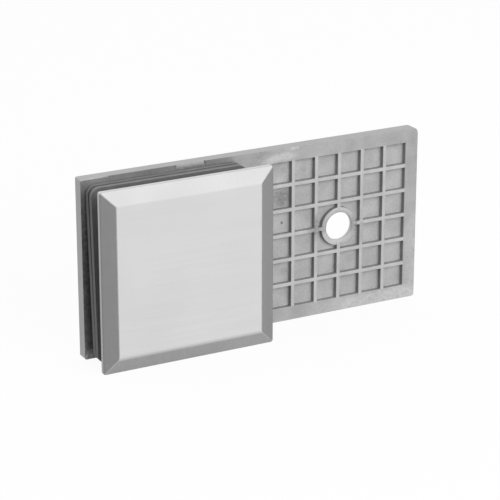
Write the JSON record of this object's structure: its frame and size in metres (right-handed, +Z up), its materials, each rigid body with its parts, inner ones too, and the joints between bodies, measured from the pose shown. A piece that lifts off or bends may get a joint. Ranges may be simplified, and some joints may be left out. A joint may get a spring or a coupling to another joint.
{
  "type": "glass-to-wall bracket",
  "caption": "Flat metal bracket that holds a glass panel in line with a wall: ribbed plate with a countersunk wall hole, and a square bevelled cover that clamps the glass.",
  "frame": {"origin": "axis of the wall hole, in the plane of the ribs and border that bears on the wall", "axes": "+X from the glass half to the wall half, +Y out of the wall towards the plate's finished face, +Z up"},
  "size_m": [0.102, 0.0178, 0.05],
  "materials": {
    "cast_steel": "investment cast stainless steel, blasted on the wall side, satin ground on edges and outer face",
    "brushed_steel": "fine brushed satin stainless steel",
    "nylon": "natural turned nylon",
    "gasket_pvc": "matt grey soft PVC sheet",
    "screw_steel": "plain stainless steel screw"
  },
  "bodies": {
    "plate": {"back_plate": "cast_steel", "rear_gasket": "gasket_pvc"},
    "cover": {"cover_plate": "brushed_steel", "glass_bush": "nylon", "front_gasket": "gasket_pvc"},
    "screw": {"clamp_screw": "screw_steel"}
  },
  "joints": [
    {"name": "clamp_turn", "type": "hinge", "parent": "plate", "child": "screw", "pos_m": [-0.052, 0, 0], "axis": [0, 1, 0], "range_deg": [0, 1440]},
    {"name": "cover_travel", "type": "slide", "parent": "plate", "child": "cover", "axis": [0, -1, 0], "range_m": [0, 0.004]}
  ],
  "couplings": [
    {"joint": "clamp_turn", "follows": "cover_travel", "rad_per_m": 6283.2}
  ]
}
